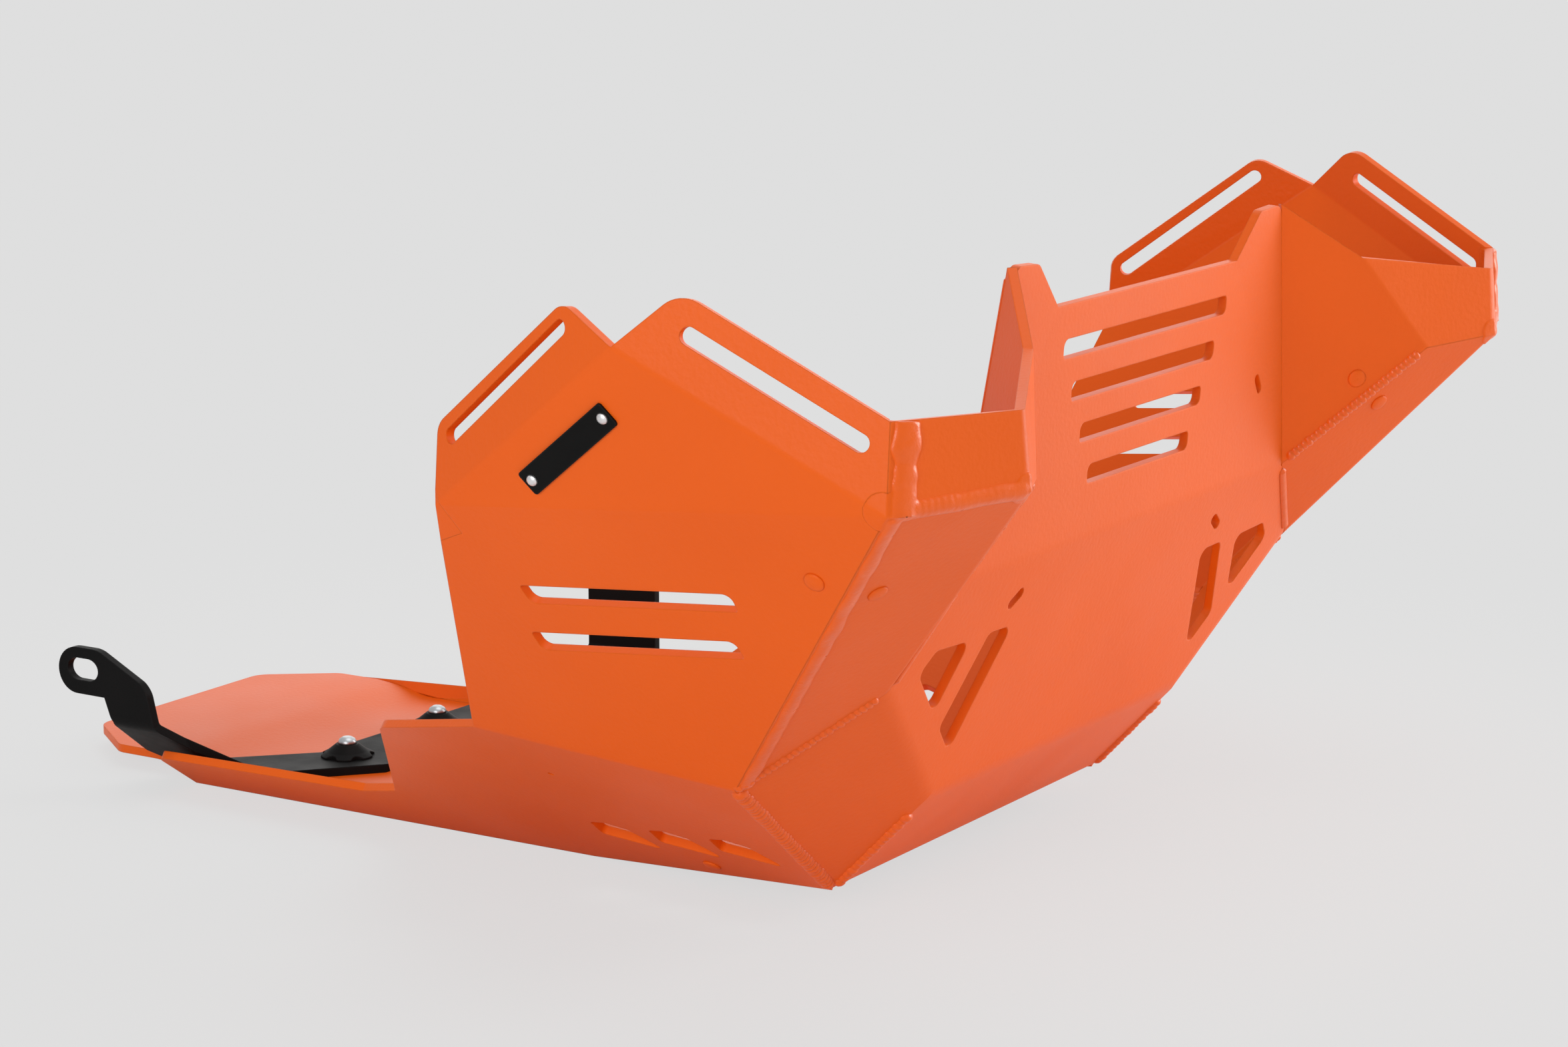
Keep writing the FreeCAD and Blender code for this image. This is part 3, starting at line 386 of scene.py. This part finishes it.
def scale_of_weld():
    # one frozen ripple: a flattened ball, a little longer behind than in front
    mesh = bpy.data.meshes.new("ripple")
    bm = bmesh.new()
    bmesh.ops.create_uvsphere(bm, u_segments=14, v_segments=8, radius=1.0)
    for v in bm.verts:
        v.co.x *= 0.62 if v.co.x > 0 else 0.95
    bm.to_mesh(mesh)
    bm.free()
    ball = bpy.data.objects.new("ripple", mesh)
    scene.collection.objects.link(ball)
    return ball


def ripple_tree(ball):
    tree = bpy.data.node_groups.new("weld ripples", "GeometryNodeTree")
    tree.interface.new_socket(name="Geometry", in_out="INPUT", socket_type="NodeSocketGeometry")
    for name, value in (("Pitch", 0.0028), ("Half width", 0.004), ("Seed", 1.0)):
        socket = tree.interface.new_socket(name=name, in_out="INPUT", socket_type="NodeSocketFloat")
        socket.default_value = value
    tree.interface.new_socket(name="Geometry", in_out="OUTPUT", socket_type="NodeSocketGeometry")
    nodes, links = tree.nodes, tree.links
    ins = nodes.new("NodeGroupInput")
    out = nodes.new("NodeGroupOutput")
    step = nodes.new("GeometryNodeResampleCurve")
    step.mode = "LENGTH"
    source = nodes.new("GeometryNodeObjectInfo")
    source.inputs["Object"].default_value = ball
    source.inputs["As Instance"].default_value = True
    way = nodes.new("GeometryNodeInputTangent")
    turn = nodes.new("FunctionNodeAlignEulerToVector")
    turn.axis = "X"
    size = nodes.new("FunctionNodeRandomValue")
    size.data_type = "FLOAT"
    size.inputs[2].default_value = 0.90
    size.inputs[3].default_value = 1.04
    whole = nodes.new("ShaderNodeMath")
    whole.operation = "MULTIPLY"
    put = nodes.new("GeometryNodeInstanceOnPoints")
    real = nodes.new("GeometryNodeRealizeInstances")
    paint = nodes.new("GeometryNodeSetMaterial")
    paint.inputs["Material"].default_value = WELD
    smooth = nodes.new("GeometryNodeSetShadeSmooth")
    links.new(ins.outputs["Geometry"], step.inputs["Curve"])
    links.new(ins.outputs["Pitch"], step.inputs["Length"])
    links.new(step.outputs["Curve"], put.inputs["Points"])
    links.new(source.outputs["Geometry"], put.inputs["Instance"])
    links.new(way.outputs["Tangent"], turn.inputs["Vector"])
    links.new(turn.outputs["Rotation"], put.inputs["Rotation"])
    links.new(ins.outputs["Seed"], size.inputs["Seed"])
    links.new(size.outputs[1], whole.inputs[0])
    links.new(ins.outputs["Half width"], whole.inputs[1])
    links.new(whole.outputs[0], put.inputs["Scale"])
    links.new(put.outputs["Instances"], real.inputs["Geometry"])
    links.new(real.outputs["Geometry"], smooth.inputs["Geometry"])
    links.new(smooth.outputs["Geometry"], paint.inputs["Geometry"])
    links.new(paint.outputs["Geometry"], out.inputs["Geometry"])
    return tree


def set_input(modifier, tree, name, value):
    for item in tree.interface.items_tree:
        if item.item_type == "SOCKET" and item.in_out == "INPUT" and item.name == name:
            modifier[item.identifier] = value


def lay_bead(name, start, end, half_width, pitch, seed, tree):
    path = bpy.data.curves.new(name, "CURVE")
    path.dimensions = "3D"
    line = path.splines.new("POLY")
    line.points.add(1)
    line.points[0].co = (*start, 1.0)
    line.points[1].co = (*end, 1.0)
    holder = bpy.data.objects.new(name, path)
    scene.collection.objects.link(holder)
    ripples = holder.modifiers.new("ripples", "NODES")
    ripples.node_group = tree
    set_input(ripples, tree, "Pitch", pitch)
    set_input(ripples, tree, "Half width", half_width)
    set_input(ripples, tree, "Seed", float(seed))
    bpy.context.view_layer.update()
    graph = bpy.context.evaluated_depsgraph_get()
    mesh = bpy.data.meshes.new_from_object(holder.evaluated_get(graph))
    bpy.data.objects.remove(holder)
    return mesh


ripple_ball = scale_of_weld()
ripples = ripple_tree(ripple_ball)
seed = 0
for seam, (start, end, radius, pitch) in SEAMS.items():
    for side, hand in (("left", 1.0), ("right", -1.0)):
        seed += 1
        a = (start[0], hand * start[1], start[2])
        b = (end[0], hand * end[1], end[2])
        mesh = lay_bead(seam + " ripples", a, b, radius, pitch, seed, ripples)
        name = seam + "_" + side + "_ripples"
        bead = bpy.data.objects.new(name, mesh)
        mesh.materials.clear()
        mesh.materials.append(WELD)
        scene.collection.objects.link(bead)
        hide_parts(seam + "_" + side)
        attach(bead, "root")
bpy.data.objects.remove(ripple_ball)

# Corners of the left half where the panels meet, in metres
CORNERS = {
    "cheek": (0.28101, 0.28920, 0.21774),
    "nose_b": (0.30571, 0.22650, 0.21960),
    "nose_t": (0.30321, 0.22710, 0.25020),
    "front_l": (0.28007, 0.28516, 0.25200),
    "front_t": (0.20011, 0.30085, 0.29500),
    "notch": (0.17551, 0.31000, 0.27360),
    "toe": (0.16691, 0.21320, 0.08145),
    "flank": (0.22041, 0.18480, 0.12300),
    "hip": (0.07441, 0.28480, 0.19970),
    "rear_l": (0.07521, 0.28292, 0.23180),
    "heel": (0.04555, 0.22383, 0.09355),
    "knee_b": (0.28791, 0.18890, 0.21660),
    "knee_t": (0.28651, 0.18950, 0.26050),
    "crease": (0.23401, 0.15000, 0.16300),
}
# The panels round the pocket's nose, each by three or four of its corners
PANELS = {
    "wing": ("heel", "hip", "cheek", "toe"),
    "shoulder": ("hip", "notch", "cheek"),
    "front flange": ("notch", "front_t", "front_l", "cheek"),
    "rear flange": ("hip", "rear_l", "notch"),
    "nose": ("nose_b", "cheek", "front_l", "nose_t"),
    "front": ("toe", "cheek", "nose_b", "flank"),
    "inner wall": ("knee_b", "nose_b", "nose_t"),
    "inner front": ("flank", "nose_b", "knee_b", "crease"),
}


def corner(name, hand):
    x, y, z = CORNERS[name]
    return Vector((x, hand * y, z))


def panel_skin(name, hand):
    # outward unit normal of a panel and a point on its skin
    pts = [corner(k, 1.0) for k in PANELS[name]]
    n = Vector((0.0, 0.0, 0.0))
    for i, p in enumerate(pts):
        n += p.cross(pts[(i + 1) % len(pts)])
    n.normalize()
    return Vector((n.x, hand * n.y, n.z)), corner(PANELS[name][0], hand)


def weld_rod(bm, a, b, radius_at, turns=28, step=0.0008):
    # a closed rod whose radius follows a function of the distance from its start
    along = b - a
    length = along.length
    along.normalize()
    side = along.orthogonal().normalized()
    up = along.cross(side)
    rings = []
    count = max(2, int(length / step))
    for i in range(count + 1):
        far = length * i / count
        ring = []
        for j in range(turns):
            angle = 2.0 * math.pi * j / turns
            r = radius_at(far, angle)
            outward = side * math.cos(angle) + up * math.sin(angle)
            ring.append(bm.verts.new(a + along * far + outward * r))
        rings.append(ring)
    for lower, upper in zip(rings, rings[1:]):
        for j in range(turns):
            k = (j + 1) % turns
            bm.faces.new((lower[j], lower[k], upper[k], upper[j]))
    bm.faces.new(list(reversed(rings[0])))
    bm.faces.new(rings[-1])


def corner_filler(bm, centre, radius, skins, proud):
    # a ball shaved down to just above the panels that meet in it
    ball = bmesh.new()
    bmesh.ops.create_icosphere(ball, subdivisions=4, radius=radius)
    bmesh.ops.translate(ball, verts=ball.verts, vec=centre)
    for n, p in skins:
        cut = bmesh.ops.bisect_plane(
            ball, geom=ball.verts[:] + ball.edges[:] + ball.faces[:], dist=1e-7,
            plane_co=p + n * proud, plane_no=n, clear_outer=True)
        rim = [e for e in cut["geom_cut"] if isinstance(e, bmesh.types.BMEdge)]
        if rim:
            bmesh.ops.holes_fill(ball, edges=rim)
    shaved = bpy.data.meshes.new("shaved")
    ball.to_mesh(shaved)
    ball.free()
    bm.from_mesh(shaved)
    bpy.data.meshes.remove(shaved)


def as_final_mesh(name, bm, voxel, rounds):
    # the overlapping rods and balls run together into one skin
    rough = bpy.data.meshes.new(name)
    bm.to_mesh(rough)
    bm.free()
    holder = bpy.data.objects.new(name, rough)
    scene.collection.objects.link(holder)
    melt = holder.modifiers.new("melt", "REMESH")
    melt.mode = "VOXEL"
    melt.voxel_size = voxel
    calm = holder.modifiers.new("calm", "SMOOTH")
    calm.factor = 0.5
    calm.iterations = rounds
    bpy.context.view_layer.update()
    graph = bpy.context.evaluated_depsgraph_get()
    mesh = bpy.data.meshes.new_from_object(holder.evaluated_get(graph))
    bpy.data.objects.remove(holder)
    bpy.data.meshes.remove(rough)
    return mesh


# How deep a weld reaches into the sheets, how far it may stand out, and what counts as level
SKIN_DEPTH = 0.0034
CROWN_LIMIT = 0.0030
FLUSH = 0.00035


def settle(mesh, skins):
    # keeps the weld inside the sheets' thickness below, and flattens what stands out too far
    for v in mesh.vertices:
        n, p = max(skins, key=lambda s: s[0].dot(v.co - s[1]))
        depth = n.dot(v.co - p)
        if depth < -SKIN_DEPTH:
            v.co += n * (-SKIN_DEPTH - depth)
        elif depth > 0.0:
            v.co += n * (CROWN_LIMIT * (1.0 - math.exp(-depth / CROWN_LIMIT)) - depth)


def mean_way(names, hand):
    way = Vector((0.0, 0.0, 0.0))
    for name in names:
        way += panel_skin(name, hand)[0]
    return way.normalized()


def lump(far, angle, size, seed):
    return noise.noise(Vector((far / size, seed, 0.9 * math.cos(angle)))) * 2.0


def pocket_weld(hand):
    # corner bead, wing edge and nose edge, run together over the pocket's outer corner
    skins = [panel_skin(name, hand) for name in PANELS if name != "rear flange"]
    seed = 3.0 + hand
    bm = bmesh.new()

    def corner_radius(far, angle):
        drop = 0.0009 * math.exp(-((far - 0.0265) / 0.0045) ** 2)
        ring = -0.0008 * math.exp(-((far - 0.0195) / 0.0016) ** 2)
        return 0.0077 + drop + ring + 0.0003 * lump(far, angle, 0.004, seed)

    def edge_radius(far, angle):
        return 0.0048 + 0.00035 * lump(far, angle, 0.011, seed + 7.0)

    def nose_radius(far, angle):
        fade = max(0.0, 1.0 - far / 0.055)
        scale = 0.00022 * fade * math.sin(2.0 * math.pi * far / 0.0031 + 0.8 * math.cos(angle))
        return 0.0044 + scale + 0.0002 * lump(far, angle, 0.009, seed + 11.0)

    out = mean_way(("front flange", "nose"), hand)
    shift = corner("nose_b", hand) - corner("cheek", hand)
    shift.normalize()
    a = corner("cheek", hand) + shift * 0.0053 - out * 0.0057
    b = corner("front_l", hand) + shift * 0.0053 - out * 0.0057
    weld_rod(bm, a - (b - a).normalized() * 0.001, b - (b - a).normalized() * 0.0004, corner_radius)
    out = mean_way(("wing", "front"), hand)
    a, b = corner("toe", hand), corner("cheek", hand)
    along = (b - a).normalized()
    inward = corner("flank", hand) - a
    inward = (inward - along * inward.dot(along)).normalized()
    off = inward * 0.0034 - out * 0.0032
    weld_rod(bm, a + along * 0.001 + off, b - along * 0.003 + off, edge_radius)
    out = mean_way(("nose", "front"), hand)
    a, b = corner("cheek", hand), corner("nose_b", hand)
    along = (b - a).normalized()
    weld_rod(bm, a + along * 0.004 - out * 0.0034, b - along * 0.002 - out * 0.0034, nose_radius)
    names = ("wing", "front flange", "nose", "front")
    near = [panel_skin(k, hand) for k in names + ("shoulder",)]
    corner_filler(bm, corner("cheek", hand) - mean_way(names, hand) * 0.0050, 0.0084, near, 0.0001)
    names = ("inner wall", "nose", "front", "inner front")
    near = [panel_skin(k, hand) for k in names]
    corner_filler(bm, corner("nose_b", hand) - mean_way(names, hand) * 0.0036, 0.0066, near, 0.0005)
    mesh = as_final_mesh("pocket weld", bm, 0.0006, 5)
    settle(mesh, skins)
    return mesh


def show(name, mesh, material, node, smooth=True):
    # a finished mesh as a piece of the part, in place of a CAD node where one is named
    piece = bpy.data.objects.new(name, mesh)
    mesh.materials.clear()
    mesh.materials.append(material)
    if smooth:
        mesh.polygons.foreach_set("use_smooth", [True] * len(mesh.polygons))
    scene.collection.objects.link(piece)
    if node:
        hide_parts(node)
    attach(piece, "root")
    return piece


def plain_where_flush(mesh, hand):
    # what lies level with a panel wears the panel's own coat
    skins = [panel_skin(name, hand) for name in PANELS]
    mesh.materials.append(COAT)
    for face in mesh.polygons:
        n, p = max(skins, key=lambda s: s[0].dot(face.center - s[1]))
        if n.dot(face.center - p) < FLUSH:
            face.material_index = 1


for side, hand in (("left", 1.0), ("right", -1.0)):
    run = pocket_weld(hand)
    piece = show("pocket_weld_" + side, run, WELD, "weld_cheek_" + side)
    plain_where_flush(piece.data, hand)


MERGE = 0.000001


def merged_copy(node_name):
    # a CAD node's mesh with its loose triangles joined and its shading kept
    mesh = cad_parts[node_name].data.copy()
    held = mesh.attributes.new("held", "FLOAT_VECTOR", "CORNER")
    for slot, corner_normal in zip(held.data, mesh.corner_normals):
        slot.vector = corner_normal.vector
    bm = bmesh.new()
    bm.from_mesh(mesh)
    bmesh.ops.remove_doubles(bm, verts=bm.verts[:], dist=MERGE)
    bm.to_mesh(mesh)
    bm.free()
    normals = [Vector(slot.vector) for slot in mesh.attributes["held"].data]
    mesh.attributes.remove(mesh.attributes["held"])
    mesh.normals_split_custom_set(normals)
    return mesh


def pull(mesh, near, reach, shift):
    # moves one corner of a sheet, both its outer and inner side
    near, shift = Vector(near), Vector(shift)
    for v in mesh.vertices:
        if (v.co - near).length < reach:
            v.co += shift


TONGUE_FRONT = -0.2110
LIP_FRONT = -0.02
LIP_TOP = 0.03


def lean_up(mesh, front, least, share):
    # evens the shading of a shallow bend behind the given x by leaning its normals upright
    normals = []
    for loop, held in zip(mesh.loops, mesh.corner_normals):
        n = Vector(held.vector)
        v = mesh.vertices[loop.vertex_index].co
        if n.z > least and v.x < front and v.z < LIP_TOP:
            n = n.lerp(Vector((0.0, 0.0, 1.0)), share).normalized()
        normals.append(n)
    mesh.normals_split_custom_set(normals)


# The left rim runs on to the tongue's corner, and its hip is blunted; the right flange's
# rear tip sits lower
SHEET = 0.004
LEFT_TIP = (-0.24029, 0.10016, 0.00612)
LEFT_TIP_SHIFT = (-0.0230, -0.0110, 0.0006)
HIP_BLUNT = Vector((-0.00035, 0.0038, -0.0011))
RIGHT_TIP = (-0.21629, -0.12212, 0.02165)
RIGHT_TIP_SHIFT = (-0.0050, 0.0048, -0.0034)
rim = merged_copy("side_panel_left")
pull(rim, LEFT_TIP, 0.0058, LEFT_TIP_SHIFT)
skins = [panel_skin(k, 1.0) for k in ("wing", "shoulder", "rear flange")]
deep = Matrix([n for n, p in skins]).inverted() @ Vector((-SHEET, -SHEET, -SHEET))
spike = corner("hip", 1.0) + deep
pull(rim, spike, 0.0030, corner("hip", 1.0) - HIP_BLUNT - spike)
lean_up(rim, LIP_FRONT, 0.4, 0.75)
show("side_sheet_left", rim, COAT, "side_panel_left", False)
rim = merged_copy("side_panel_right")
pull(rim, RIGHT_TIP, 0.0090, RIGHT_TIP_SHIFT)
show("side_sheet_right", rim, COAT, "side_panel_right", False)


# The right hip corner: the way its flat cut faces, how deep that is, and its inner tip
HIP_WAY = Vector((-0.87368, -0.17925, -0.45228))
HIP_REACH = 0.024
HIP_CUT = 0.00304
HIP_INNER = Vector((0.00035, 0.0038, 0.0011))


def hip_corner():
    # the corner where wing, shoulder and rear flange meet, closed over its flat cut
    at = corner("hip", -1.0)
    out = HIP_WAY
    bm = bmesh.new()
    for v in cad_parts["side_panel_right"].data.vertices:
        if (v.co - at).length < HIP_REACH and (v.co - at).dot(out) > -HIP_CUT:
            bm.verts.new(v.co)
    bm.verts.new(at - out * 0.0004)
    bm.verts.new(at - out * 0.0006 + HIP_INNER)
    bmesh.ops.convex_hull(bm, input=bm.verts[:])
    bmesh.ops.delete(bm, geom=[v for v in bm.verts if not v.link_faces], context="VERTS")
    bmesh.ops.recalc_face_normals(bm, faces=bm.faces[:])
    mesh = bpy.data.meshes.new("hip corner")
    bm.to_mesh(mesh)
    bm.free()
    return mesh


show("hip_corner_right", hip_corner(), COAT, None, False)


# The strap's outline corners to round, each with its radius, in metres
STRAP_CORNERS = [
    ((-0.2503, -0.123, 0.0683), 0.0030),
    ((-0.2213, -0.123, 0.0540), 0.0050),
    ((-0.2068, -0.107, 0.0230), 0.0060),
]
STRAP_GAUGE = (0.0036, 0.0056)
SPOT_REACH = 0.0035
COPLANAR = math.radians(1.5)
EYE_FACE = -0.119
EYE_CENTRE = Vector((0.0501 - 0.308294, 0.0, 0.057))
EYE_REACH = 0.0098
EYE_SHIFT = (-0.0016, 0.0008)
EYE_DRAW = (1.06, 0.90)
LEFT_ARM_START = 0.07
LEFT_ARM_EASE = 0.05
LEFT_ARM_SHIFT = 0.008


def strap_mesh():
    # the strap with its outline corners rounded and its eye drawn to the real slot
    bm = bmesh.new()
    bm.from_mesh(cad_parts["rear_bracket"].data)
    bmesh.ops.remove_doubles(bm, verts=bm.verts[:], dist=MERGE)
    bmesh.ops.dissolve_limit(bm, angle_limit=COPLANAR, verts=bm.verts[:], edges=bm.edges[:])
    eye = EYE_CENTRE
    for v in bm.verts:
        if v.co.y < EYE_FACE:
            gap = Vector((v.co.x - eye.x, 0.0, v.co.z - eye.z))
            if gap.length < EYE_REACH:
                v.co.x = eye.x + EYE_SHIFT[0] + gap.x * EYE_DRAW[0]
                v.co.z = eye.z + EYE_SHIFT[1] + gap.z * EYE_DRAW[1]
        if v.co.y > LEFT_ARM_START:
            reach = min(1.0, (v.co.y - LEFT_ARM_START) / LEFT_ARM_EASE)
            v.co.x += LEFT_ARM_SHIFT * reach * reach * (3.0 - 2.0 * reach)
    for spot, offset in STRAP_CORNERS:
        sharp = []
        for e in bm.edges:
            middle = (e.verts[0].co + e.verts[1].co) / 2.0
            across = STRAP_GAUGE[0] < e.calc_length() < STRAP_GAUGE[1]
            if across and (middle - Vector(spot)).length < SPOT_REACH:
                sharp.append(e)
        if sharp:
            bmesh.ops.bevel(
                bm, geom=sharp, offset=offset, segments=7, profile=0.5, affect="EDGES",
                clamp_overlap=False)
    bmesh.ops.triangulate(bm, faces=bm.faces[:])
    mesh = bpy.data.meshes.new("strap")
    bm.to_mesh(mesh)
    bm.free()
    return mesh


show("strap", strap_mesh(), BLACK, "rear_bracket", False)


main_sheet = merged_copy("main_plate")
lean_up(main_sheet, TONGUE_FRONT, 0.9, 0.75)
show("main_sheet", main_sheet, COAT, "main_plate", False)


def rounded_small(node_name):
    # small turned pieces shaded as the round forms they are
    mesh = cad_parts[node_name].data.copy()
    bm = bmesh.new()
    bm.from_mesh(mesh)
    bmesh.ops.remove_doubles(bm, verts=bm.verts[:], dist=MERGE)
    bm.to_mesh(mesh)
    bm.free()
    material = mesh.materials[0]
    piece = show(node_name + "_turned", mesh, material, node_name)
    mesh.set_sharp_from_angle(angle=math.radians(52.0))
    return piece


rounded_small("bracket_bolts")
rounded_small("name_plate_rivets")
rounded_small("plugs_left")
rounded_small("plugs_right")

set_camera()
set_world()
pale_floor()
soft_lamp("top window", (0.3, 0.4, 2.6), (0.0, 0.0, 0.1), 2.2, 18.0, (1.0, 0.99, 0.98))
soft_lamp("front far window", (1.9, 2.3, 0.9), (0.2, 0.0, 0.15), 1.8, 66.0, (1.0, 0.99, 0.98))
soft_lamp("rear far window", (-1.7, 2.9, 1.5), (-0.1, 0.0, 0.05), 3.6, 28.0, (1.0, 0.98, 0.95))
soft_lamp("near side window", (0.7, -2.8, 1.0), (0.0, 0.0, 0.12), 1.6, 36.0, (1.0, 1.0, 1.0))
